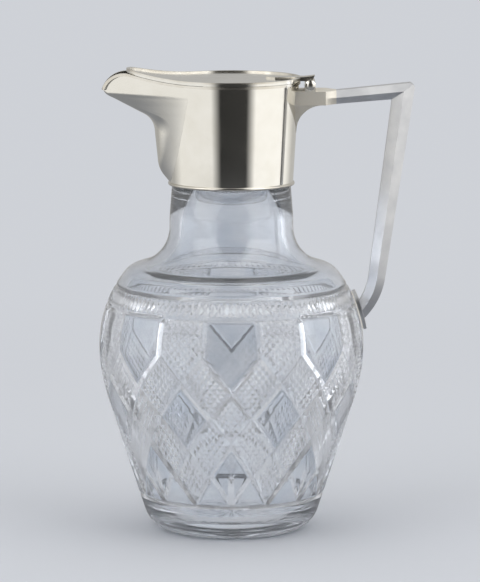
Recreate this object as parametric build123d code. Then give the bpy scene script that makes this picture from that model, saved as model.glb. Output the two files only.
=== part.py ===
from build123d import *
from math import acos, asin, atan2, cos, degrees, radians, sin, sqrt, tan
import os

# A cut-glass claret jug with a silver mount: sleeve, beak, hinged lid and angular handle.
# Millimetres. The origin is the middle of the foot, +Z up. The beak points to -X, the handle to +X.

# Glass body
base_radius = 36.8          # where the straight flank would meet the table
heel_radius = 14.0          # rounding between foot and flank
belly_radius = 60.8
belly_height = 86.0
belly_arc_radius = 80.0     # upright curve below the widest point
shoulder_arc_radius = 54.0  # upright curve above the widest point
shoulder_slope = 16.0       # degrees of fall of the shoulder's top
shoulder_corner_radius = 9.0
neck_root_radius = 28.4
neck_root_rise = 41.5       # above the widest point, to where neck and shoulder top would meet
neck_flare_radius = 17.0
body_wall = 5.0
floor_thickness = 9.0
inner_heel_radius = 9.0
inner_corner_radius = 4.0
foot_recess_radius = 17.0
foot_recess_depth = 1.5

# Cutting of the glass: deep cuts that border two families of helical bands, and the panels over them
cut_repeats = 8
crossing_height = 59.5      # a row of places where the bands cross
crossing_rise = 29.0        # to the next row, half a repeat further round
border_offset = 9.64        # degrees round the body, from the middle of a band to its border
panel_height = 16.6         # upright cuts above the upper row of crossings
panel_lap = 3.0             # and down into the cuts below them
mitre_depth = 1.5
mitre_half_width = 1.2
mitre_stand = 1.0           # the cutting wheel's profile goes on this far outside the glass
mitre_stretch = 11.5        # height between the sections of a cut
mitre_end_depth = 0.2       # where a cut runs out

# Glass neck inside the mount
neck_wall = 3.4
neck_fit_gap = 0.15         # play between the glass and the foot of the sleeve
neck_grind_depth = 0.9      # the glass is ground thinner where it is bedded
neck_lap = 0.6              # the sleeve overlaps the unground neck by this
neck_bare_height = 32.3     # from the neck's root to the foot of the sleeve
neck_height_in_mount = 26.5
lip_radius = 1.2
cement_below_lip = 2.5

# Sleeve
collar_height = 46.4
collar_foot_radius = 28.2
collar_top_radius = 31.0
silver_wall = 0.9
foot_wire_radius = 0.8

# Beak
spout_start_gap = 0.3       # from the foot wire to the point of the beak's seam
seam_point_step = 0.5       # the keel stands this far off the sleeve where it begins
throat_out = 4.6            # keel's distance from the sleeve, at the throat
throat_rise = 7.2           # above the foot of the sleeve
bend_out = 5.6
bend_drop = 15.9            # below the top of the sleeve
nose_out = 27.7
beak_slope = 27.0           # degrees, underside of the beak
throat_round = 12.0
bend_round = 9.0
nose_round = 4.0
nose_tip_radius = 3.3       # seen from above
seam_opening_power = 1 / 3  # how fast the seam opens above its point
seam_bite = 0.4             # the beak's sides run into the sleeve this deep
spout_wall = 1.0
stretch_sections = 4        # level sections in each stretch of the keel
mouth_above_neck = 1.5      # the sleeve is cut away for the beak this far above the glass

# Rim line, seen from the side: level at the mouth, rising along the beak, then over its nose
rise_angle = 14.0
nose_rim_radius = 10.2
nose_turn = 72.0
nose_end_gap = 0.55         # the rim line ends this far behind the nose
rim_wire_height = 1.2
rim_wire_outside = 0.6
rim_wire_inside = 0.7

# Lid
lid_seat_gap = 0.2
lid_thickness = 1.0
lid_overhang = 0.3          # past the rim wire
lid_front = 17.0            # from the sleeve to the front end of the lid
edge_wire_width = 1.7
edge_wire_height = 0.7
bezel_play = 0.4            # between the bezel and the rim wire
bezel_wall = 0.9
bezel_depth = 3.6
bezel_half_angle = 64.0     # the bezel is open over the beak
leaf_width = 8.0
leaf_length = 12.0          # from the back edge of the lid forward
leaf_thickness = 0.8

# Hinge
hinge_behind_collar = 5.0
hinge_above_rim = 0.1
barrel_radius = 2.4
barrel_length = 20.0
lid_knuckle_length = 7.6
knuckle_gap = 0.15
pin_radius = 1.0
pin_seat_gap = 0.02
pin_running_gap = 0.05
cap_height = 0.9
thumb_rise = 1.9            # above the barrel
thumb_width = 6.4
lid_opening = 100.0         # degrees
stop_clearance = 0.25

# Bracket and handle
socket_fillet = 12.0
socket_flat = 0.55          # level underside between that rounding and the handle's arm
socket_foot_drop = 19.5     # from the top of the bracket down the sleeve
socket_tail_length = 5.0
socket_foot_width = 5.0
cheek_rise = 1.9
arm_depth = 6.2
arm_width = 12.4
handle_out = 53.2           # from the sleeve to the handle's outer corner
handle_rise = 0.8           # of that corner above the sleeve
corner_arm_depth = 7.8
corner_grip_depth = 10.8
corner_width = 13.0
corner_round = 4.0
grip_low_depth = 7.6
grip_low_width = 10.0
tail_depth = 7.0
tail_width = 8.4
tail_rise = 18.0            # from the end of the handle up to where it begins to bend
tail_run = 7.6
tail_sections = 4           # stretches of the tail's bend
flat_share = 0.45           # flat inner and outer faces of the handle, as a share of its width
pad_elevation = 17.0        # degrees round the shoulder's curve
tail_elevation = 14.0
pad_half_height = 9.5
pad_half_width = 6.2
pad_thickness = 1.4
pad_cement_thickness = 0.5
tail_sink = 3.0

# Heights and places that follow
neck_root_height = belly_height + neck_root_rise
collar_foot_height = neck_root_height + neck_bare_height
collar_top = collar_foot_height + collar_height
rim_top = collar_top + rim_wire_height
lid_under = rim_top + lid_seat_gap
lid_top = lid_under + lid_thickness
neck_step = collar_foot_height + neck_lap
neck_top = collar_foot_height + neck_height_in_mount
neck_radius = collar_foot_radius - silver_wall - neck_fit_gap
ground_radius = neck_radius - neck_grind_depth
bore_radius = ground_radius - neck_wall
rim_outer_radius = collar_top_radius + rim_wire_outside
rim_inner_radius = collar_top_radius - silver_wall - rim_wire_inside
lid_radius = rim_outer_radius + lid_overhang
hinge_x = collar_top_radius + hinge_behind_collar
hinge_z = collar_top + hinge_above_rim
thumb_reach = barrel_radius + thumb_rise
thumb_lean = 30.0           # degrees behind upright, with the lid shut
stop_height = hinge_z + thumb_reach * cos(radians(thumb_lean + lid_opening)) - stop_clearance
lid_reach = collar_top_radius + lid_front
handle_reach = collar_top_radius + handle_out
handle_top = collar_top + handle_rise
throat_height = collar_foot_height + throat_rise
bend_height = collar_top - bend_drop
nose_reach = collar_top_radius + nose_out
seam_half_angle = degrees(acos((collar_top_radius - nose_tip_radius) / (nose_reach - nose_tip_radius)))
rim_start_reach = collar_top_radius * cos(radians(seam_half_angle))
nose_run = nose_rim_radius * (sin(radians(rise_angle)) + sin(radians(nose_turn)))
rise_run = nose_reach - nose_end_gap - rim_start_reach - nose_run
rise_radius = rise_run / sin(radians(rise_angle))
side_view = Plane.XZ
far = 400.0


def collar_radius(height, inset=0.0):
    share = (height - collar_foot_height) / collar_height
    return collar_foot_radius + (collar_top_radius - collar_foot_radius) * share - inset


tail_start_x = collar_radius(stop_height - arm_depth) + socket_fillet + socket_flat
arm_start_x = tail_start_x + socket_tail_length
throat_reach = collar_radius(throat_height) + throat_out
bend_reach = collar_radius(bend_height) + bend_out
nose_height = bend_height + (nose_reach - bend_reach) * tan(radians(beak_slope))


def ring(points):
    return revolve(Plane.YZ * make_face(Polyline(*points, close=True)), Axis.Z)


def sleeve_cone(outer_inset, inner_inset, low, high):
    """A tapered ring that lies parallel to the outside of the sleeve."""
    return ring([
        (collar_radius(low, inner_inset), low),
        (collar_radius(low, outer_inset), low),
        (collar_radius(high, outer_inset), high),
        (collar_radius(high, inner_inset), high),
    ])


def full_cone(low, high):
    return ring([(0, low), (collar_radius(low), low), (collar_radius(high), high), (0, high)])


def body_section(inset, floor, neck_edge, neck_end, heel, corner, flare):
    """Half of the body's section, its outline moved inwards by inset."""
    centre = Vector(belly_radius - belly_arc_radius, belly_height)
    steep = flank_angle()
    outward = Vector(cos(steep), sin(steep))
    flank_top = centre + outward * (belly_arc_radius - inset)
    flank_low = flank_top + Vector(outward.Y, -outward.X) * ((flank_top.Y - floor) / outward.X)
    arc_radius = shoulder_arc_radius - inset
    arc_centre = Vector(belly_radius - shoulder_arc_radius, belly_height)
    slope = radians(shoulder_slope)
    fall = Vector(cos(slope), -sin(slope))
    top_point = Vector(neck_root_radius, neck_root_height) - Vector(sin(slope), cos(slope)) * inset
    neck_corner = top_point + fall * ((neck_edge - top_point.X) / fall.X)
    from_centre = neck_corner - arc_centre
    along = from_centre.dot(fall)
    to_arc = sqrt(along * along - from_centre.dot(from_centre) + arc_radius * arc_radius) - along
    shoulder_corner = neck_corner + fall * to_arc
    flare_limit = (to_arc - corner / 2) / tan((radians(90) - slope) / 2)
    belly = Vector(belly_radius - inset, belly_height)
    middle = (belly + shoulder_corner) / 2 - arc_centre
    lower_middle = (belly + flank_top) / 2 - centre
    outline = [
        Line((0, floor), flank_low),
        Line(flank_low, flank_top),
        ThreePointArc(flank_top, centre + lower_middle.normalized() * (belly_arc_radius - inset), belly),
        ThreePointArc(belly, arc_centre + middle.normalized() * arc_radius, shoulder_corner),
        Line(shoulder_corner, neck_corner),
        Line(neck_corner, (neck_edge, neck_end)),
        Line((neck_edge, neck_end), (0, neck_end)),
        Line((0, neck_end), (0, floor)),
    ]
    section = make_face(outline)
    rounds = ((flank_low, heel), (shoulder_corner, corner), (neck_corner, min(flare, flare_limit)))
    for point, radius in rounds:
        near = section.vertices().sort_by_distance((point.X, point.Y, 0))[0]
        section = fillet(near, radius)
    return section


def flank_angle():
    """The way out of the straight flank, as an angle from level."""
    start = Vector(base_radius - belly_radius + belly_arc_radius, -belly_height)
    return atan2(start.Y, start.X) + acos(belly_arc_radius / start.length)


def flank_point(height):
    """The uncut glass at a height: a point of the side view, and the way out of the glass there."""
    arc_radius = shoulder_arc_radius if height > belly_height else belly_arc_radius
    angle = asin(max((height - belly_height) / arc_radius, sin(flank_angle())))
    out = Vector(cos(angle), sin(angle))
    point = Vector(belly_radius - arc_radius, belly_height) + out * arc_radius
    return point + Vector(out.Y, -out.X) * ((point.Y - height) / out.X), out


def mitre_section(height, turn, depth, half_width):
    """The wheel's V across a cut. Turn is in degrees round the body, from the side that faces -Y."""
    point, out = flank_point(height)
    plane = Plane(origin=(point.X, 0, height), x_dir=(out.X, 0, out.Y), z_dir=(-out.Y, 0, out.X))
    width = half_width * (depth + mitre_stand) / mitre_depth
    triangle = make_face(Polyline((-depth, 0), (mitre_stand, width), (mitre_stand, -width), close=True))
    return Rot(0, 0, turn - 90) * (plane * triangle)


def mitre_cut(low, high, low_turn, high_turn):
    """A V cut into the outside of the glass, from one height and turn to another."""
    point = flank_point((low + high) / 2)[0]
    climb = atan2(radians(high_turn - low_turn) * point.X, high - low)
    half_width = mitre_half_width / cos(climb)
    count = max(2, round((high - low) / mitre_stretch))
    sections = []
    for step in range(count + 1):
        share = step / count
        depth = mitre_end_depth if step in (0, count) else mitre_depth
        turn = low_turn + (high_turn - low_turn) * share
        sections.append(mitre_section(low + (high - low) * share, turn, depth, half_width))
    return loft(sections, ruled=True)


def mitre_cuts():
    """One of each kind of deep cut: both borders of both families of bands, and the panels' sides."""
    half_turn = 180 / cut_repeats
    low = crossing_height - crossing_rise
    high = crossing_height + crossing_rise
    tip = low - border_offset * crossing_rise / half_turn
    cuts = []
    for side in (1, -1):
        shared = side * half_turn
        border = side * border_offset
        upright = shared + border
        cuts.append(mitre_cut(tip, high, shared, -shared - border))
        cuts.append(mitre_cut(low, high, shared + border, border - shared))
        cuts.append(mitre_cut(high - panel_lap, high + panel_height, upright, upright))
    return cuts


def make_glass_body():
    outside = body_section(
        0, 0, neck_root_radius, neck_root_height + neck_flare_radius,
        heel_radius, shoulder_corner_radius, neck_flare_radius,
    )
    neck_low = neck_root_height + neck_flare_radius
    neck = make_face(Polyline(
        (0, neck_low), (neck_root_radius, neck_low), (neck_radius, neck_step), (ground_radius, neck_step),
        (ground_radius, neck_top), (0, neck_top), close=True,
    ))
    inside = body_section(
        body_wall, floor_thickness, bore_radius, neck_top,
        inner_heel_radius, inner_corner_radius, neck_flare_radius + body_wall,
    )
    recess = make_face(Polyline((0, 0), (foot_recess_radius, 0), (0, foot_recess_depth), close=True))
    glass = revolve(side_view * (outside + neck - inside - recess), Axis.Z)
    lip = glass.edges().filter_by(GeomType.CIRCLE).group_by(Axis.Z)[-1]
    glass = fillet(lip, lip_radius)
    for cut in mitre_cuts():
        glass -= [Rot(0, 0, 360 * step / cut_repeats) * cut for step in range(cut_repeats)]
    return glass


def make_neck_cement():
    high = neck_top - cement_below_lip
    return ring([
        (ground_radius, neck_step), (collar_radius(neck_step, silver_wall), neck_step),
        (collar_radius(high, silver_wall), high), (ground_radius, high),
    ])


def tip_radius(circle, reach, half_angle):
    """Radius of the tip that two tangents of a circle share when the tip ends at reach."""
    slant = cos(radians(half_angle))
    return (circle - reach * slant) / (1 - slant)


def tip_outline(circle, reach, half_angle):
    """The two tangents and the rounded tip of a drop shape that points to -X."""
    tip = tip_radius(circle, reach, half_angle)
    across = Vector(-cos(radians(half_angle)), sin(radians(half_angle)))
    below = Vector(across.X, -across.Y)
    centre = Vector(tip - reach, 0)
    return [
        Line(across * circle, centre + across * tip),
        ThreePointArc(centre + across * tip, (-reach, 0), centre + below * tip),
        Line(centre + below * tip, below * circle),
    ]


def drop_face(circle, reach, half_angle=seam_half_angle):
    """A drop shape: most of a circle and the tip that its two tangents make."""
    sides = tip_outline(circle, reach, half_angle)
    back = ThreePointArc(sides[-1] @ 1, (circle, 0), sides[0] @ 0)
    return make_face(sides + [back])


def beak_face(circle, reach, half_angle):
    """The part of a drop shape in front of the chord between its tangent points."""
    sides = tip_outline(circle, reach, half_angle)
    return make_face(sides + [Line(sides[-1] @ 1, sides[0] @ 0)])


def seam_angle(height):
    """The seam opens from a point at the foot of the sleeve to its full width at the nose's height."""
    share = (height - collar_foot_height) / (nose_height - collar_foot_height)
    return seam_half_angle * min(share, 1.0) ** seam_opening_power


def keel_line():
    """The keel, seen from the side: distance from the axis, then height."""
    start = collar_foot_height + 2 * foot_wire_radius + spout_start_gap
    points = [
        (collar_radius(start) + seam_point_step, start),
        (throat_reach, throat_height),
        (bend_reach, bend_height),
        (nose_reach, nose_height),
        (nose_reach, rim_highest() + nose_round),
    ]
    return FilletPolyline(*points, radius=[throat_round, bend_round, nose_round])


def beak_section(point, along, inset):
    """A level section of the beak, or of the hollow in it, by a point of the keel."""
    reach = point.X - inset * along.Y
    height = point.Y + inset * along.X
    circle = collar_radius(min(height, collar_top), inset + seam_bite)
    return Pos(0, 0, height) * beak_face(circle, reach, seam_angle(height))


def beak_solid(inset):
    """The beak's outside, or with an inset the hollow in it."""
    sections = []
    for stretch in keel_line().edges().sort_by(Axis.Y):
        for step in range(stretch_sections):
            share = (step + 0.5) / stretch_sections
            sections.append(beak_section(stretch @ share, stretch % share, inset))
    first = keel_line()
    sections.insert(0, beak_section(first @ 0, first % 0, inset))
    sections.append(beak_section(first @ 1, first % 1, inset))
    return loft(sections)


def rim_line(offset, back):
    """The rim seen from the side, from back towards the nose, moved up by offset."""
    start = (back, collar_top + offset)
    sweep_start = (-rim_start_reach, collar_top + offset)
    rise = JernArc(sweep_start, (-1, 0), rise_radius - offset, -rise_angle)
    nose = JernArc(rise @ 1, rise % 1, nose_rim_radius + offset, rise_angle + nose_turn)
    return [Line(start, sweep_start), rise, nose]


def rim_highest():
    rise, nose = rim_line(0, far)[1:]
    return (nose @ (rise_angle / (rise_angle + nose_turn))).Y


def rim_band(low, high, back=far):
    """What lies between two parallel rim lines, right across the jug."""
    lower = rim_line(low, back)
    upper = rim_line(high, back)
    ends = [Line(lower[-1] @ 1, upper[-1] @ 1), Line(upper[0] @ 0, lower[0] @ 0)]
    return extrude(side_view * make_face(lower + ends + upper), far, both=True)


def above_rim():
    line = rim_line(0, far)
    end = line[-1] @ 1
    around = Polyline(end, (-far, end.Y), (-far, far), (far, far), line[0] @ 0)
    return extrude(side_view * make_face(line + [around]), far, both=True)


def upright(face):
    return extrude(face, far)


def make_collar(hollow):
    sleeve = sleeve_cone(0, silver_wall, collar_foot_height, collar_top)
    above_glass = Pos(0, 0, neck_top + mouth_above_neck) * upright(Rectangle(far, far))
    return sleeve - (hollow & above_glass)


def make_collar_foot_wire():
    wire = Pos(collar_foot_radius, collar_foot_height + foot_wire_radius) * Circle(foot_wire_radius)
    return revolve(side_view * wire, Axis.Z) - full_cone(collar_foot_height, collar_top)


def make_spout(outside, hollow):
    return outside - hollow - full_cone(collar_foot_height, collar_top) - above_rim()


def make_rim_wire():
    outer = drop_face(rim_outer_radius, nose_reach + rim_wire_outside)
    inset = silver_wall + rim_wire_inside
    inner = drop_face(collar_top_radius - inset, nose_reach - inset)
    return upright(outer - inner) & rim_band(0, rim_wire_height)


def lid_face(inset=0.0):
    return drop_face(lid_radius - inset, lid_reach - inset)


def make_lid_plate():
    low = lid_under - collar_top
    return upright(lid_face()) & rim_band(low, low + lid_thickness)


def leaf_plan():
    half = leaf_width / 2
    front = lid_radius - leaf_length
    return make_face(Polyline(
        (hinge_x, -half), (hinge_x, half), (front, half), (front - half, 0), (front, -half), close=True,
    ))


def make_lid_edge_wire():
    low = lid_top - collar_top
    border = upright(lid_face() - lid_face(edge_wire_width)) & rim_band(low, low + edge_wire_height)
    return border - upright(leaf_plan())


def make_lid_bezel():
    outer = rim_inner_radius - bezel_play
    low = lid_under - bezel_depth
    inner = outer - bezel_wall
    tube = ring([(inner, low), (outer, low), (outer, lid_under), (inner, lid_under)])
    gap = radians(bezel_half_angle)
    over_beak = make_face(Polyline(
        (0, 0), (-far * cos(gap), far * sin(gap)), (-far * cos(gap), -far * sin(gap)), close=True,
    ))
    return tube - upright(over_beak)


def hinge_tube(radius, start, length):
    """A round bar on the hinge's axis, from start along +Y."""
    return Pos(hinge_x, start, hinge_z) * Rot(-90, 0, 0) * Cylinder(
        radius, length, align=(Align.CENTER, Align.CENTER, Align.MIN),
    )


def make_lid_leaf():
    leaf = Pos(0, 0, lid_top) * extrude(leaf_plan(), leaf_thickness)
    half = leaf_width / 2
    tongue = Pos(lid_radius - edge_wire_width, -half, lid_under) * Box(
        hinge_x - lid_radius + edge_wire_width, leaf_width, lid_thickness, align=Align.MIN,
    )
    return leaf + (tongue - make_lid_plate()) - hinge_tube(barrel_radius, -far / 2, far)


def make_lid_knuckle():
    start = -lid_knuckle_length / 2
    tube = hinge_tube(barrel_radius, start, lid_knuckle_length)
    return tube - hinge_tube(pin_radius + pin_running_gap, start, lid_knuckle_length)


def make_body_knuckles():
    length = (barrel_length - lid_knuckle_length) / 2 - knuckle_gap
    start = lid_knuckle_length / 2 + knuckle_gap
    tube = hinge_tube(barrel_radius, start, length) - hinge_tube(pin_radius + pin_seat_gap, start, length)
    return tube + mirror(tube, Plane.XZ)


def make_hinge_pin():
    return hinge_tube(pin_radius, -barrel_length / 2, barrel_length)


def make_pin_caps():
    dome_radius = (barrel_radius ** 2 + cap_height ** 2) / (2 * cap_height)
    centre = barrel_length / 2 + cap_height - dome_radius
    dome = Pos(hinge_x, centre, hinge_z) * Sphere(dome_radius)
    cap = dome & hinge_tube(barrel_radius, barrel_length / 2, 2 * cap_height)
    return cap + mirror(cap, Plane.XZ)


def make_thumbpiece():
    lean = radians(thumb_lean)
    tip = Vector(hinge_x + thumb_reach * sin(lean), hinge_z + thumb_reach * cos(lean))
    foot = Vector(hinge_x - 2 * barrel_radius, lid_top + leaf_thickness)
    heel = Vector(hinge_x + barrel_radius * sin(lean), hinge_z + barrel_radius * cos(lean))
    outline = [
        TangentArc(foot, tip, tangent=(1, 0)),
        Line(tip, heel),
        Line(heel, (hinge_x, hinge_z)),
        Line((hinge_x, hinge_z), (foot.X, hinge_z)),
        Line((foot.X, hinge_z), foot),
    ]
    lug = extrude(side_view * make_face(outline), thumb_width / 2, both=True)
    below = Pos(foot.X, 0, lid_top + leaf_thickness) * Box(
        far, far, far, align=(Align.CENTER, Align.CENTER, Align.MAX),
    )
    on_leaf = lug - below
    behind_hinge = Pos(hinge_x, 0, hinge_z) * Box(
        far, far, far, align=(Align.MIN, Align.CENTER, Align.MIN),
    )
    on_barrel = lug & behind_hinge
    return on_leaf + on_barrel - hinge_tube(barrel_radius, -far / 2, far)


def handle_face(plane, depth, width):
    """The handle's six-sided section: flat inside and outside, with a ridge along each side."""
    flat = flat_share * width / 2
    return plane * make_face(Polyline(
        (depth / 2, flat), (0, width / 2), (-depth / 2, flat),
        (-depth / 2, -flat), (0, -width / 2), (depth / 2, -flat), close=True,
    ))


def section_plane(inner, outer):
    """The plane across the handle through two points of its side view, depth along local x."""
    across = (outer - inner).normalized()
    middle = (inner + outer) / 2
    return Plane(
        origin=(middle.X, 0, middle.Y), x_dir=(across.X, 0, across.Y), z_dir=(across.Y, 0, -across.X),
    )


def make_handle_socket():
    low = stop_height - socket_foot_drop
    under = stop_height - arm_depth
    touch = collar_radius(under)
    profile = make_face(Polyline(
        (collar_radius(low) / 2, low), (collar_radius(low), low), (touch, under), (tail_start_x, under),
        (tail_start_x, stop_height), (touch / 2, stop_height), close=True,
    ))
    inner_corner = profile.vertices().sort_by_distance((touch, under, 0))[0]
    profile = fillet(inner_corner, socket_fillet)
    half = barrel_length / 2
    body = extrude(side_view * profile, half, both=True)
    front = make_face(Polyline(
        (-socket_foot_width / 2, low), (socket_foot_width / 2, low), (half, under), (half, stop_height),
        (-half, stop_height), (-half, under), close=True,
    ))
    body = body & extrude(Plane.YZ * front, far)
    rear = Plane(origin=(tail_start_x, 0, (under + stop_height) / 2), x_dir=(0, 0, 1), z_dir=(-1, 0, 0))
    ahead = Plane(origin=(arm_start_x, 0, (under + stop_height) / 2), x_dir=(0, 0, 1), z_dir=(-1, 0, 0))
    block = rear * make_face(Polyline(
        (arm_depth / 2, half), (0, half), (-arm_depth / 2, half),
        (-arm_depth / 2, -half), (0, -half), (arm_depth / 2, -half), close=True,
    ))
    tail = loft([block, handle_face(ahead, arm_depth, arm_width)], ruled=True)
    knuckle_start = lid_knuckle_length / 2 + knuckle_gap
    cheek = Pos(hinge_x, knuckle_start, stop_height) * Box(
        2 * barrel_radius, half - knuckle_start, cheek_rise, align=(Align.CENTER, Align.MIN, Align.MIN),
    )
    bracket = body + tail + cheek + mirror(cheek, Plane.XZ)
    return bracket - full_cone(collar_foot_height, collar_top) - hinge_tube(barrel_radius, -far / 2, far)


def make_handle_arm():
    start = section_plane(Vector(arm_start_x, stop_height - arm_depth), Vector(arm_start_x, stop_height))
    corner = section_plane(*handle_corner())
    depth = (handle_corner()[1] - handle_corner()[0]).length
    arm = loft([
        handle_face(start, arm_depth, arm_width),
        handle_face(corner, depth, corner_width),
    ], ruled=True)
    return arm - corner_waste()


def handle_corner():
    """The inner and the outer point of the handle's mitre, seen from the side."""
    outer = Vector(handle_reach, handle_top)
    inner = Vector(handle_reach - corner_grip_depth, handle_top - corner_arm_depth)
    return inner, outer


def corner_waste():
    """What rounding takes off the handle's outer corner."""
    outer = handle_corner()[1]
    block = Pos(outer.X, outer.Y) * Rectangle(far, far, align=(Align.MIN, Align.MIN))
    block = Pos(-corner_round, -corner_round) * block
    disc = Pos(outer.X - corner_round, outer.Y - corner_round) * Circle(corner_round)
    return extrude(side_view * (block - disc), far, both=True)


def shoulder_point(elevation, rise):
    """A point at a height above the shoulder's curved surface, seen from the side."""
    reach = shoulder_arc_radius + rise
    angle = radians(elevation)
    return Vector(
        belly_radius - shoulder_arc_radius + reach * cos(angle), belly_height + reach * sin(angle),
    )


def shoulder_layer(low, high):
    """A layer of the shoulder's upright curve, between two heights above the glass."""
    angles = (0, pad_elevation, 2 * pad_elevation)
    below = [shoulder_point(angle, low) for angle in angles]
    above = [shoulder_point(angle, high) for angle in angles]
    outline = [
        ThreePointArc(*below),
        Line(below[-1], above[-1]),
        ThreePointArc(*reversed(above)),
        Line(above[0], below[0]),
    ]
    return revolve(side_view * make_face(outline), Axis.Z)


def pad_prism(shrink=0.0):
    angle = radians(pad_elevation)
    centre = shoulder_point(pad_elevation, -tail_sink)
    plane = Plane(
        origin=(centre.X, 0, centre.Y),
        x_dir=(-sin(angle), 0, cos(angle)),
        z_dir=(cos(angle), 0, sin(angle)),
    )
    return extrude(plane * Ellipse(pad_half_height - shrink, pad_half_width - shrink), 2 * tail_sink)


def make_handle_grip():
    inner, outer = handle_corner()
    mitre = (inner + outer) / 2
    end = shoulder_point(tail_elevation, -tail_sink)
    knee = shoulder_point(tail_elevation, 0) + Vector(tail_run, tail_rise)
    down = (knee - mitre).normalized()
    side = Vector(-down.Y, down.X)
    low_plane = section_plane(knee - side * grip_low_depth / 2, knee + side * grip_low_depth / 2)
    straight = loft([
        handle_face(section_plane(inner, outer), (outer - inner).length, corner_width),
        handle_face(low_plane, grip_low_depth, grip_low_width),
    ], ruled=True)
    curve = TangentArc(knee, end, tangent=down)
    faces = []
    for step in range(tail_sections + 1):
        share = step / tail_sections
        point = curve @ share
        along = curve % share
        side = Vector(-along.Y, along.X)
        depth = grip_low_depth + (tail_depth - grip_low_depth) * share
        width = grip_low_width + (tail_width - grip_low_width) * share
        plane = section_plane(point - side * depth / 2, point + side * depth / 2)
        faces.append(handle_face(plane, depth, width))
    tail = loft(faces)
    buried = shoulder_layer(-2 * tail_sink, pad_cement_thickness + pad_thickness)
    return straight + tail - buried - corner_waste()


def make_handle_terminal():
    return pad_prism() & shoulder_layer(pad_cement_thickness, pad_cement_thickness + pad_thickness)


def make_terminal_cement():
    return pad_prism(pad_cement_thickness) & shoulder_layer(0, pad_cement_thickness)


def main():
    os.makedirs("parts", exist_ok=True)
    outside = beak_solid(0)
    hollow = beak_solid(spout_wall)
    nodes = {
        "glass_body": make_glass_body(),
        "neck_cement": make_neck_cement(),
        "collar": make_collar(hollow),
        "collar_foot_wire": make_collar_foot_wire(),
        "spout": make_spout(outside, hollow),
        "rim_wire": make_rim_wire(),
        "lid_plate": make_lid_plate(),
        "lid_edge_wire": make_lid_edge_wire(),
        "lid_bezel": make_lid_bezel(),
        "lid_leaf": make_lid_leaf(),
        "lid_knuckle": make_lid_knuckle(),
        "thumbpiece": make_thumbpiece(),
        "body_knuckles": make_body_knuckles(),
        "hinge_pin": make_hinge_pin(),
        "pin_caps": make_pin_caps(),
        "handle_socket": make_handle_socket(),
        "handle_arm": make_handle_arm(),
        "handle_grip": make_handle_grip(),
        "handle_terminal": make_handle_terminal(),
        "terminal_cement": make_terminal_cement(),
    }
    for name, solid in nodes.items():
        export_step(solid, f"parts/{name}.step")


main()
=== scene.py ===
import bmesh
import bpy
from functools import cache
from math import cos, hypot, pi, radians, sin
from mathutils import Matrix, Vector
from mathutils.bvhtree import BVHTree


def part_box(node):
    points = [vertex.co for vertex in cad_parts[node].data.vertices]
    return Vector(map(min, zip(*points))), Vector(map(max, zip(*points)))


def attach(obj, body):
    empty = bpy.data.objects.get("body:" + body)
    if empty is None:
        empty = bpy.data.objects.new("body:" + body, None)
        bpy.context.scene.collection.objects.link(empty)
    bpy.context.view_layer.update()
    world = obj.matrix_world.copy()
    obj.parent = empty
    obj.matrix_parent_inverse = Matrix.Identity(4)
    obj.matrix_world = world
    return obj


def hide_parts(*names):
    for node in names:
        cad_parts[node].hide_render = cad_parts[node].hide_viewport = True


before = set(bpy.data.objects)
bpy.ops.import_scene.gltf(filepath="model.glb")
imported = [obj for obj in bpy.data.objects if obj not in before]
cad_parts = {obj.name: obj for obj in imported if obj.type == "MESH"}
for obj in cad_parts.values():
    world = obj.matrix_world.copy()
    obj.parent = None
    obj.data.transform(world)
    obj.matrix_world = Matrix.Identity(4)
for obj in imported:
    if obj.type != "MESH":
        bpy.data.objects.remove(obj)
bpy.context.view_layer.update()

# A cut-glass claret jug with a silver mount. Metres, the CAD frame: foot at the origin, beak to -X.
mm = 0.001
glass_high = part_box("glass_body")[1]
belly_radius = glass_high.x

# Cutting of the glass. The pattern repeats eight times round the body, in a lattice of two families of
# helical bands; "cell" is half the width of one small diamond, counted along the lattice.
repeats = 8
cells = 28                          # half diamonds in one repeat
crossing_height = 59.5 * mm         # a row of crossings straight in front
crossing_rise = 58.0 * mm           # to the next crossing above it
band_half = 5                       # cells from the middle of a band to its edge
border = 2                          # cells across the deep cut on each side of a band
diamond_depth = 0.75 * mm
mitre_depth = 1.5 * mm
lattice_first, lattice_last = -42, 54
arch_row = -28                      # below this row only the tips of the crossings go on
column_row = 28                     # above it the bands go on upright
column_half = 10
foot_cut, ring_low, ring_high = -41, 44, 52     # rows of the level cuts
level_half = 1                      # rows that a level cut reaches up and down
blaze_period = 4
blaze_fade = 2                      # rows over which the blaze cuts begin and end
blaze_depth = 0.9 * mm
sprig_foot = -40                    # row that the three cuts in each lower arch spring from
sprig_rows = 14
sprig_half = 2                      # half steps from the middle of such a cut to its edge
star_period = 8                     # ring places to one point of the star under the foot
star_depth = 1.1 * mm
star_reach = 33.0 * mm
star_hub = 6.0 * mm
neck_end_round = 1.2 * mm
neck_turn = (121 * mm, 127 * mm)    # the tight turn from shoulder to neck lies between these heights
neck_root = 15 * mm                 # the bore is plain from this far under the mount upward
seat_step = 0.05 * mm               # rings lie this close under and over the step that the mount sits on
ring_gap = 0.3 * mm                 # and elsewhere they keep at least this far from the next one
heel_rise = 3.0 * mm                # the underside of the foot lies below this
foot_gap = 0.4 * mm                 # the rings of the foot end this far under the pattern
steepest = 89.5                     # degrees; nearer to the axis a profile is closed with a fan

around = 2 * repeats * cells        # half steps round the body
probes = 12                         # rays over one repeat that look for the uncut glass
inside_cad = 0.01 * mm              # the visible glass lies this far inside the solid's facets
ring_count = around // 2


# ---------------------------------------------------------------- helpers

def node_tree(name):
    material = bpy.data.materials.new(name)
    material.use_nodes = True
    tree = material.node_tree
    tree.nodes.clear()
    output = tree.nodes.new("ShaderNodeOutputMaterial")
    shader = tree.nodes.new("ShaderNodeBsdfPrincipled")
    tree.links.new(shader.outputs[0], output.inputs["Surface"])
    return material, tree, shader


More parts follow.
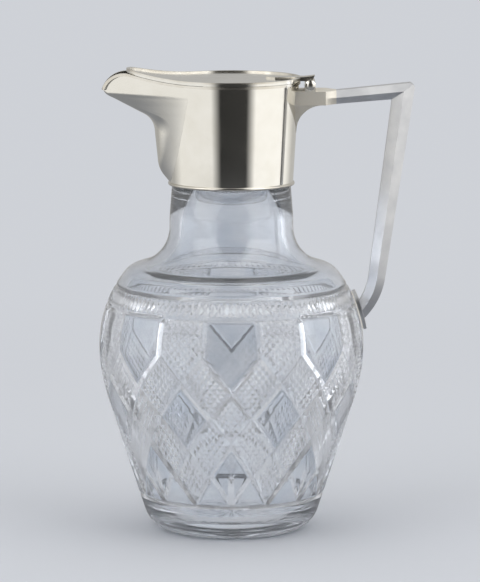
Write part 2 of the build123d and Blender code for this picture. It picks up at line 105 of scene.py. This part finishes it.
def noise(tree, scale, detail=3.0, stretch=(1, 1, 1), rough=0.5):
    place = tree.nodes.new("ShaderNodeTexCoord")
    mapping = tree.nodes.new("ShaderNodeMapping")
    mapping.inputs["Scale"].default_value = stretch
    texture = tree.nodes.new("ShaderNodeTexNoise")
    texture.inputs["Scale"].default_value = scale
    texture.inputs["Detail"].default_value = detail
    texture.inputs["Roughness"].default_value = rough
    tree.links.new(place.outputs["Object"], mapping.inputs["Vector"])
    tree.links.new(mapping.outputs[0], texture.inputs["Vector"])
    return texture.outputs["Fac"]


def spread(tree, value, low, high, at=(0.3, 0.7)):
    """Runs from low to high while the value runs over the range at, by default the range of a noise."""
    ramp = tree.nodes.new("ShaderNodeMapRange")
    ramp.inputs["From Min"].default_value = at[0]
    ramp.inputs["From Max"].default_value = at[1]
    ramp.inputs["To Min"].default_value = low
    ramp.inputs["To Max"].default_value = high
    tree.links.new(value, ramp.inputs["Value"])
    return ramp.outputs[0]


def tint(tree, factor, dark, light):
    """Mixes two colours: a Mix node has its own sockets for colours, after those for numbers."""
    mix = tree.nodes.new("ShaderNodeMix")
    mix.data_type = "RGBA"
    factor_socket, dark_socket, light_socket = mix.inputs[0], mix.inputs[6], mix.inputs[7]
    colour = mix.outputs[2]
    dark_socket.default_value = (*dark, 1)
    light_socket.default_value = (*light, 1)
    tree.links.new(factor, factor_socket)
    return colour


def bump(tree, shader, height, strength, distance):
    node = tree.nodes.new("ShaderNodeBump")
    node.inputs["Strength"].default_value = strength
    node.inputs["Distance"].default_value = distance
    tree.links.new(height, node.inputs["Height"])
    tree.links.new(node.outputs[0], shader.inputs["Normal"])


# ---------------------------------------------------------------- materials

def silver(name, light, dark, gloss, haze, scratch):
    """Polished silver: a warm metal with hazy patches, fine hairlines and darker tarnish in patches."""
    material, tree, shader = node_tree(name)
    shader.inputs["Metallic"].default_value = 1.0
    patches = noise(tree, scale=90.0, detail=4.0)
    hairlines = noise(tree, scale=700.0, detail=2.0, stretch=(1, 1, 0.06))
    tree.links.new(tint(tree, spread(tree, patches, 0, 1), dark, light), shader.inputs["Base Color"])
    tree.links.new(spread(tree, patches, haze, gloss), shader.inputs["Roughness"])
    bump(tree, shader, hairlines, strength=scratch, distance=0.02 * mm)
    return material


crystal_index = 1.54
crystal_light = (0.985, 0.99, 1.0)


def glass(name, clear, dark, gloss, haze, ripple_strength):
    """Lead crystal. A film of handling greys it in patches, and what isn't clear scatters a little."""
    material, tree, shader = node_tree(name)
    shader.inputs["Transmission Weight"].default_value = clear
    shader.inputs["IOR"].default_value = crystal_index
    film = noise(tree, scale=60.0, detail=3.0)
    tree.links.new(tint(tree, spread(tree, film, 0, 1), dark, crystal_light), shader.inputs["Base Color"])
    tree.links.new(spread(tree, film, gloss, haze), shader.inputs["Roughness"])
    ripple = noise(tree, scale=45.0, detail=2.0)
    bump(tree, shader, ripple, strength=ripple_strength, distance=0.15 * mm)
    return material


plaster_dark, plaster_light = (0.62, 0.58, 0.5), (0.83, 0.8, 0.72)
plaster_glow = (0.83, 0.8, 0.76)    # stands for the light that comes through the glass
plaster_glow_level = 0.35
brass_dark, brass_light = (0.55, 0.4, 0.18), (0.8, 0.62, 0.32)
brass_rough = (0.22, 0.4)


def plaster():
    material, tree, shader = node_tree("old_plaster")
    grain = noise(tree, scale=900.0, detail=6.0)
    tree.links.new(tint(tree, grain, plaster_dark, plaster_light), shader.inputs["Base Color"])
    shader.inputs["Roughness"].default_value = 0.85
    # Painted light: the plaster glows faintly in place of the light that would reach it through the
    # glass.
    shader.inputs["Emission Color"].default_value = (*plaster_glow, 1)
    shader.inputs["Emission Strength"].default_value = plaster_glow_level
    bump(tree, shader, grain, strength=0.4, distance=0.1 * mm)
    return material


def brass():
    material, tree, shader = node_tree("pin_brass")
    shader.inputs["Metallic"].default_value = 1.0
    patches = noise(tree, scale=400.0, detail=4.0)
    tree.links.new(tint(tree, patches, brass_dark, brass_light), shader.inputs["Base Color"])
    tree.links.new(spread(tree, patches, *brass_rough), shader.inputs["Roughness"])
    return material


sleeve_silver = silver(
    "sleeve_silver", light=(0.93, 0.915, 0.87), dark=(0.88, 0.86, 0.80),
    gloss=0.07, haze=0.13, scratch=0.10,
)
lid_silver = silver(
    "lid_silver", light=(0.92, 0.91, 0.87), dark=(0.85, 0.83, 0.78),
    gloss=0.10, haze=0.18, scratch=0.14,
)
wire_silver = silver(
    "wire_silver", light=(0.90, 0.88, 0.83), dark=(0.68, 0.64, 0.56),
    gloss=0.14, haze=0.28, scratch=0.2,
)
bracket_silver = silver(
    "bracket_silver", light=(0.97, 0.94, 0.87), dark=(0.88, 0.84, 0.76),
    gloss=0.55, haze=0.68, scratch=0.25,
)
handle_silver = silver(
    "handle_silver", light=(0.80, 0.81, 0.83), dark=(0.66, 0.67, 0.70),
    gloss=0.28, haze=0.42, scratch=0.3,
)
polished_glass = glass(
    "polished_crystal", clear=0.94, dark=(0.81, 0.85, 0.90),
    gloss=0.0, haze=0.02, ripple_strength=0.05,
)
cut_glass = glass(
    "cut_crystal", clear=0.76, dark=(0.96, 0.97, 0.985),
    gloss=0.02, haze=0.08, ripple_strength=0.03,
)


def dress(material, *names):
    for name in names:
        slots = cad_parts[name].data.materials
        slots.clear()
        slots.append(material)


dress(sleeve_silver, "collar", "spout")
dress(lid_silver, "lid_plate", "lid_bezel")
dress(
    wire_silver, "collar_foot_wire", "rim_wire", "lid_edge_wire", "lid_leaf", "lid_knuckle", "thumbpiece",
    "body_knuckles", "pin_caps",
)
dress(bracket_silver, "handle_socket")
dress(handle_silver, "handle_arm", "handle_grip", "handle_terminal")
dress(plaster(), "neck_cement", "terminal_cement")
dress(brass(), "hinge_pin")


# ---------------------------------------------------------------- the cut glass

def surface_of(name):
    """The CAD surface as a tree that rays can meet."""
    mesh = bmesh.new()
    mesh.from_mesh(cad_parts[name].data)
    tree = BVHTree.FromBMesh(mesh)
    mesh.free()
    return tree


glass_surface = surface_of("glass_body")


@cache
def outer_radius(height):
    """The radius of the uncut glass at a height: the largest that rays find over one repeat."""
    found = []
    for place in range(probes):
        turn = 2 * pi * place / (probes * repeats)
        way = Vector((cos(turn), sin(turn), 0))
        hit = glass_surface.ray_cast(way * 2 * belly_radius + Vector((0, 0, height)), -way)
        found.append(hypot(hit[0].x, hit[0].y))
    return max(found) - inside_cad


def inner_radius(height):
    """The radius of the cavity at a height."""
    hit = glass_surface.ray_cast(Vector((0, 0, height)), Vector((1, 0, 0)))
    return hit[0].x


@cache
def outward(height):
    """The direction square to the uncut outside, as (radial, upward)."""
    step = 0.5 * mm
    growth = outer_radius(height + step) - outer_radius(height - step)
    length = hypot(growth, 2 * step)
    return 2 * step / length, -growth / length


def groove(value):
    """A V that is deepest at odd values and level at even ones, from 0 to 1."""
    return 1 - abs(value % 2 - 1)


def from_line(value, period=cells):
    """The distance from the nearest multiple of the period."""
    return abs((value + period / 2) % period - period / 2)


def notch(distance, half_width=1.0):
    """A V across a line, from 1 on the line to 0 at its edges."""
    return max(0.0, 1 - abs(distance) / half_width)


def cut_depth(half_step, row):
    """How deep the wheel has cut at a place of the lattice."""
    first = from_line((half_step + row) / 2)
    second = from_line((half_step - row) / 2)
    column = from_line(half_step - cells, 2 * cells)
    diamonds = diamond_depth * max(groove((half_step + row) / 2), groove((half_step - row) / 2))
    border_middle = band_half + border / 2
    borders = mitre_depth * max(notch(first - border_middle), notch(second - border_middle))
    if row > ring_low + level_half:
        inside = min(row - ring_low, ring_high - row) - level_half
        fade = max(0, min(1, inside / blaze_fade))
        depth = blaze_depth * notch(from_line(half_step, blaze_period), blaze_period / 2) * fade
    elif row >= column_row:
        depth = diamonds if column <= column_half else 0.0
        depth = max(depth, mitre_depth * notch(column - column_half - border, border))
    elif row > arch_row:
        depth = max(diamonds if min(first, second) <= band_half else 0.0, borders)
    else:
        depth = diamonds if max(first, second) <= band_half else 0.0
        if max(first, second) <= band_half + border:
            depth = max(depth, borders)
    for level in (foot_cut, ring_low, ring_high):
        depth = max(depth, mitre_depth * notch(row - level, level_half))
    return max(depth, sprig_depth(half_step, row))


def sprig_depth(half_step, row):
    """Three cuts that rise from the foot of the pattern in the middle of each lower arch."""
    rise = row - sprig_foot
    if rise < 0 or rise > sprig_rows:
        return 0.0
    side = from_line(half_step, 2 * cells)
    across = max(notch(side, sprig_half), notch(side - rise, sprig_half))
    return diamond_depth * across * (1 - rise / sprig_rows)


def lattice_point(half_step, row):
    """A place of the lattice on the glass, let in by the depth of its cut."""
    height = crossing_height + row * crossing_rise / (2 * cells)
    depth = cut_depth(half_step, row)
    across, up = outward(height)
    radius = outer_radius(height) - depth * across
    turn = 2 * pi * half_step / around - pi / 2
    return Vector((radius * cos(turn), radius * sin(turn), height - depth * up))


def ring_points(radius, height):
    turns = [2 * pi * place / ring_count - pi / 2 for place in range(ring_count)]
    return [Vector((radius * cos(turn), radius * sin(turn), height)) for turn in turns]


def star_cut(points, radius):
    """Raises the points of a ring under the foot where the star is cut into it."""
    if radius > star_reach:
        return points
    fade = min(1, 2 * (1 - radius / star_reach))
    hub = min(1, radius / star_hub)
    for place, point in enumerate(points):
        ray = notch(from_line(place, star_period), star_period / 4)
        point.z += star_depth * fade * (1 - hub * (1 - ray))
    return points


def polar_profile(first, last, steps, outside):
    """Points of the CAD outline as seen from inside the jug, as (radius, height)."""
    start = Vector((0, 0, belly_radius))
    points = []
    for step in range(steps + 1):
        angle = radians(first + (last - first) * step / steps)
        way = Vector((cos(angle), 0, sin(angle)))
        if outside:
            hit = glass_surface.ray_cast(start + way * 4 * belly_radius, -way)
        else:
            hit = glass_surface.ray_cast(start, way)
        points.append((max(hit[0].x, 0), hit[0].z))
    return points


def between(low, high, steps):
    """Heights in even steps above low, up to and with high."""
    return [low + (high - low) * step / steps for step in range(1, steps + 1)]


def neck_and_cavity(low):
    """The outline from the top of the pattern over shoulder and neck, and down inside to the floor."""
    step_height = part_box("neck_cement")[0].z
    root = step_height - neck_root
    top = glass_high.z
    heights = between(low, neck_turn[0], steps=6)
    heights += between(*neck_turn, steps=14) + between(neck_turn[1], root, steps=16)
    heights += [step_height - seat_step, step_height + seat_step, top - neck_end_round]
    outline = [(outer_radius(height), height) for height in heights]
    outside = outline[-1][0]
    inside = inner_radius(top - 2 * neck_end_round)
    corner = neck_end_round * (1 - cos(pi / 4))
    outline += [(outside - corner, top - corner), (outside - neck_end_round, top)]
    outline += [(inside + neck_end_round, top), (inside + corner, top - corner)]
    outline += [(inside, top - neck_end_round), (inside, root)]
    cavity = polar_profile(first=76, last=-steepest, steps=120, outside=False)
    return outline + [(radius, height) for radius, height in cavity if height < root - ring_gap]


def join(mesh, lower, upper):
    """Joins two rings with quads."""
    for place in range(ring_count):
        after = (place + 1) % ring_count
        mesh.faces.new((lower[place], lower[after], upper[after], upper[place]))


def close_ring(mesh, ring, upward):
    """Closes a ring with a fan round its centre."""
    centre = mesh.verts.new(sum((vertex.co for vertex in ring), Vector()) / ring_count)
    for place in range(ring_count):
        pair = [ring[place], ring[(place + 1) % ring_count]]
        mesh.faces.new([centre] + (pair if upward else pair[::-1]))


def fill_lattice(mesh, lattice):
    """Fills the diamonds of the lattice with triangles, each diamond split along its fold."""
    for row in range(lattice_first, lattice_last + 1):
        for half_step in range((row + 1) % 2, around, 2):
            left = lattice[(half_step - 1) % around, row]
            right = lattice[(half_step + 1) % around, row]
            low = lattice.get((half_step, row - 1))
            high = lattice.get((half_step, row + 1))
            middle = cut_depth(half_step, row)
            level = (cut_depth(half_step - 1, row) + cut_depth(half_step + 1, row)) / 2
            upright = (cut_depth(half_step, row - 1) + cut_depth(half_step, row + 1)) / 2
            if not low:
                mesh.faces.new((left, right, high))
            elif not high:
                mesh.faces.new((left, low, right))
            elif abs(level - middle) <= abs(upright - middle):
                mesh.faces.new((left, low, right))
                mesh.faces.new((left, right, high))
            else:
                mesh.faces.new((left, low, high))
                mesh.faces.new((low, right, high))


def build_glass():
    """The pattern, the foot under it, and neck and cavity above it, as one closed skin."""
    mesh = bmesh.new()
    lattice = {}
    cut = set()
    for row in range(lattice_first, lattice_last + 1):
        for half_step in range(row % 2, around, 2):
            vertex = mesh.verts.new(lattice_point(half_step, row))
            lattice[half_step, row] = vertex
            if cut_depth(half_step, row) > 0:
                cut.add(vertex)
    fill_lattice(mesh, lattice)
    foot = [lattice[2 * place, lattice_first] for place in range(ring_count)]
    shoulder = [lattice[2 * place, lattice_last] for place in range(ring_count)]
    edge = foot[0].co.z - foot_gap
    rings = []
    for radius, height in polar_profile(first=-steepest, last=-20, steps=90, outside=True):
        if height < edge:
            points = ring_points(radius, height)
            if height < heel_rise:
                points = star_cut(points, radius)
            rings.append([mesh.verts.new(point) for point in points])
            if radius < star_reach and height < heel_rise:
                cut.update(rings[-1])
    close_ring(mesh, rings[0], upward=False)
    for lower, upper in zip(rings, rings[1:] + [foot]):
        join(mesh, lower, upper)
    previous = shoulder
    for radius, height in neck_and_cavity(shoulder[0].co.z):
        ring = [mesh.verts.new(point) for point in ring_points(radius, height)]
        join(mesh, previous, ring)
        previous = ring
    close_ring(mesh, previous, upward=True)
    for face in mesh.faces:
        is_cut = any(vertex in cut for vertex in face.verts)
        face.smooth = not is_cut
        face.material_index = 1 if is_cut else 0
    return mesh


def object_from(mesh, name, body, slot, *materials):
    data = bpy.data.meshes.new(name)
    mesh.to_mesh(data)
    mesh.free()
    piece = bpy.data.objects.new(name, data)
    bpy.context.scene.collection.objects.link(piece)
    for material in materials:
        data.materials.append(material)
    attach(piece, body)
    return piece


cut_body = object_from(build_glass(), "cut_body", "jug", "cut_glass", polished_glass, cut_glass)
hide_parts("glass_body")


# ---------------------------------------------------------------- floor, room and lights

backdrop = (0.62, 0.64, 0.68)
floor_radius = 2.5
floor_sides = 96
floor_fade = (0.30, 0.75)   # the lit floor gives way to the plain backdrop between these distances
floor_rough = 0.9
floor_through_glass = 0.9   # level of the near floor as the glass shows it
mirrored_floor = 0.38       # level of the near floor as polished metal shows it


def math_node(tree, operation, first, second=None):
    node = tree.nodes.new("ShaderNodeMath")
    node.operation = operation
    for socket, value in zip(node.inputs, (first, second)):
        if value is None:
            continue
        if isinstance(value, (int, float)):
            socket.default_value = value
        else:
            tree.links.new(value, socket)
    return node.outputs[0]


def emission(tree, level):
    node = tree.nodes.new("ShaderNodeEmission")
    node.inputs["Color"].default_value = (*backdrop, 1)
    node.inputs["Strength"].default_value = level
    return node.outputs[0]


def mix_light(tree, factor, first, second):
    node = tree.nodes.new("ShaderNodeMixShader")
    for socket, value in zip(node.inputs, (factor, first, second)):
        tree.links.new(value, socket)
    return node.outputs[0]


def build_floor():
    """Lit paper near the jug, and the plain backdrop further out.

    Metal and glass show the paper near the jug plain, without its shadow. Further out they see the room.
    """
    mesh = bmesh.new()
    bmesh.ops.create_circle(mesh, cap_ends=True, segments=floor_sides, radius=floor_radius)
    data = bpy.data.meshes.new("floor")
    mesh.to_mesh(data)
    mesh.free()
    floor = bpy.data.objects.new("floor", data)
    bpy.context.scene.collection.objects.link(floor)
    material, tree, shader = node_tree("floor_paper")
    shader.inputs["Base Color"].default_value = (*backdrop, 1)
    shader.inputs["Roughness"].default_value = floor_rough
    shader.inputs["Specular IOR Level"].default_value = 0.0
    place = tree.nodes.new("ShaderNodeTexCoord")
    length = tree.nodes.new("ShaderNodeVectorMath")
    length.operation = "LENGTH"
    tree.links.new(place.outputs["Object"], length.inputs[0])
    share = spread(tree, length.outputs["Value"], 0, 1, floor_fade)
    path = tree.nodes.new("ShaderNodeLightPath").outputs
    clear = tree.nodes.new("ShaderNodeBsdfTransparent").outputs[0]
    near = mix_light(tree, path["Is Glossy Ray"], shader.outputs[0], emission(tree, mirrored_floor))
    near = mix_light(tree, path["Is Transmission Ray"], near, emission(tree, floor_through_glass))
    far = mix_light(tree, path["Is Camera Ray"], clear, emission(tree, 1.0))
    whole = mix_light(tree, share, near, far)
    output = next(node for node in tree.nodes if node.type == "OUTPUT_MATERIAL")
    tree.links.new(whole, output.inputs["Surface"])
    data.materials.append(material)


room_level = 0.75           # what the room alone gives a matt surface
panel_level = 1.05          # the two big soft panels, as polished metal shows them
glass_panel_level = 3.2     # and as they light the cuts of the glass
dark_front = 0.035          # the unlit room behind the camera
glass_dark_front = 0.25     # and as the glass shows it
back_level = 0.5            # the paper behind the jug, as metal shows it
glass_back_level = 1.0
ground_level = 0.2          # the ground beyond the floor against the rest, for metal
glass_ground_level = 0.6
ceiling_level = 0.6         # the ceiling against the rest
front_edge = (0.77, 0.92)   # cosine of the angle off the dark front: panels begin, room is dark
front_turn = radians(4)     # the dark front lies this far to the right of the camera
panel_end = (-0.75, -0.35)  # the same cosine: paper behind, panels end
ceiling_edge = (0.45, 0.85)     # height of the direction, from -1 to 1: ceiling begins and is full
ground_edge = (-0.75, -0.45)    # ground is full and ends
left_share = 0.82           # the left panel against the right one
left_edge = (-0.3, 0.3)     # the left one gives way to the right one over this stretch of x
mirror_tint = (1.0, 0.985, 0.95)    # colour of the whole room in the metal


def studio(tree, front, x, z, panel, dark, back, ground):
    """The level of the room in a direction: dark in front, a panel on each side, paper behind."""
    to_dark = spread(tree, front, panel, dark, front_edge)
    to_back = spread(tree, front, back / panel, 1.0, panel_end)
    sides = math_node(tree, "MULTIPLY", to_dark, to_back)
    low = spread(tree, z, ground, 1.0, ground_edge)
    high = spread(tree, z, 1.0, ceiling_level, ceiling_edge)
    sides = math_node(tree, "MULTIPLY", sides, spread(tree, x, left_share, 1.0, left_edge))
    return math_node(tree, "MULTIPLY", math_node(tree, "MULTIPLY", sides, low), high)


def background(tree, colour, level):
    node = tree.nodes.new("ShaderNodeBackground")
    node.inputs["Color"].default_value = (*colour, 1)
    if isinstance(level, (int, float)):
        node.inputs["Strength"].default_value = level
    else:
        tree.links.new(level, node.inputs["Strength"])
    return node.outputs[0]


def build_room():
    """The world: an even light for matt surfaces, the studio for metal and glass, the backdrop behind."""
    world = bpy.data.worlds.new("studio")
    bpy.context.scene.world = world
    world.use_nodes = True
    tree = world.node_tree
    tree.nodes.clear()
    path = tree.nodes.new("ShaderNodeLightPath").outputs
    place = tree.nodes.new("ShaderNodeTexCoord")
    split = tree.nodes.new("ShaderNodeSeparateXYZ")
    tree.links.new(place.outputs["Generated"], split.inputs[0])
    x, y, z = split.outputs
    level = math_node(tree, "SQRT", math_node(
        tree, "ADD", math_node(tree, "MULTIPLY", x, x), math_node(tree, "MULTIPLY", y, y),
    ))
    facing = math_node(
        tree, "ADD", math_node(tree, "MULTIPLY", x, sin(front_turn)),
        math_node(tree, "MULTIPLY", y, -cos(front_turn)),
    )
    front = math_node(tree, "DIVIDE", facing, level)
    mirrored = studio(tree, front, x, z, panel_level, dark_front, back_level, ground_level)
    through = studio(
        tree, front, x, z, glass_panel_level, glass_dark_front, glass_back_level, glass_ground_level,
    )
    light = background(tree, (1.0, 1.0, 1.0), room_level)
    light = mix_light(tree, path["Is Glossy Ray"], light, background(tree, mirror_tint, mirrored))
    light = mix_light(tree, path["Is Transmission Ray"], light, background(tree, backdrop, through))
    light = mix_light(tree, path["Is Camera Ray"], light, background(tree, backdrop, 1.0))
    output = tree.nodes.new("ShaderNodeOutputWorld")
    tree.links.new(light, output.inputs["Surface"])


def aim(piece, target):
    way = Vector(target) - piece.location
    piece.rotation_euler = way.to_track_quat("-Z", "Y").to_euler()


lamp_size = 2.0
lamp_target = (0, 0, 0.12)


def soft_light(name, place, power):
    data = bpy.data.lights.new(name, "AREA")
    data.shape = "SQUARE"
    data.size = lamp_size
    data.energy = power
    lamp = bpy.data.objects.new(name, data)
    bpy.context.scene.collection.objects.link(lamp)
    lamp.location = place
    aim(lamp, lamp_target)


build_floor()
build_room()
soft_light("light_left", place=(-1.6, -1.3, 1.3), power=12.0)
soft_light("light_right", place=(1.7, -1.1, 1.4), power=12.0)
soft_light("light_top", place=(0.1, 0.4, 2.2), power=6.0)


# ---------------------------------------------------------------- camera

camera_place = (0.00396, -2.139, 0.411)
camera_down = 8             # degrees
lens_length = 290.5         # millimetres, as the next one
sensor_height = 36.0
view_depth = 20.0


def build_camera():
    """The photograph's view: from the jug's left side, a little above the middle."""
    data = bpy.data.cameras.new("camera")
    data.lens = lens_length
    data.sensor_width = sensor_height
    data.sensor_height = sensor_height
    data.sensor_fit = "VERTICAL"
    data.clip_end = view_depth
    camera = bpy.data.objects.new("camera", data)
    camera.location = camera_place
    camera.rotation_euler = (radians(90 - camera_down), 0, 0)
    bpy.context.scene.collection.objects.link(camera)
    bpy.context.scene.camera = camera


build_camera()
bpy.context.scene.view_settings.view_transform = "Standard"
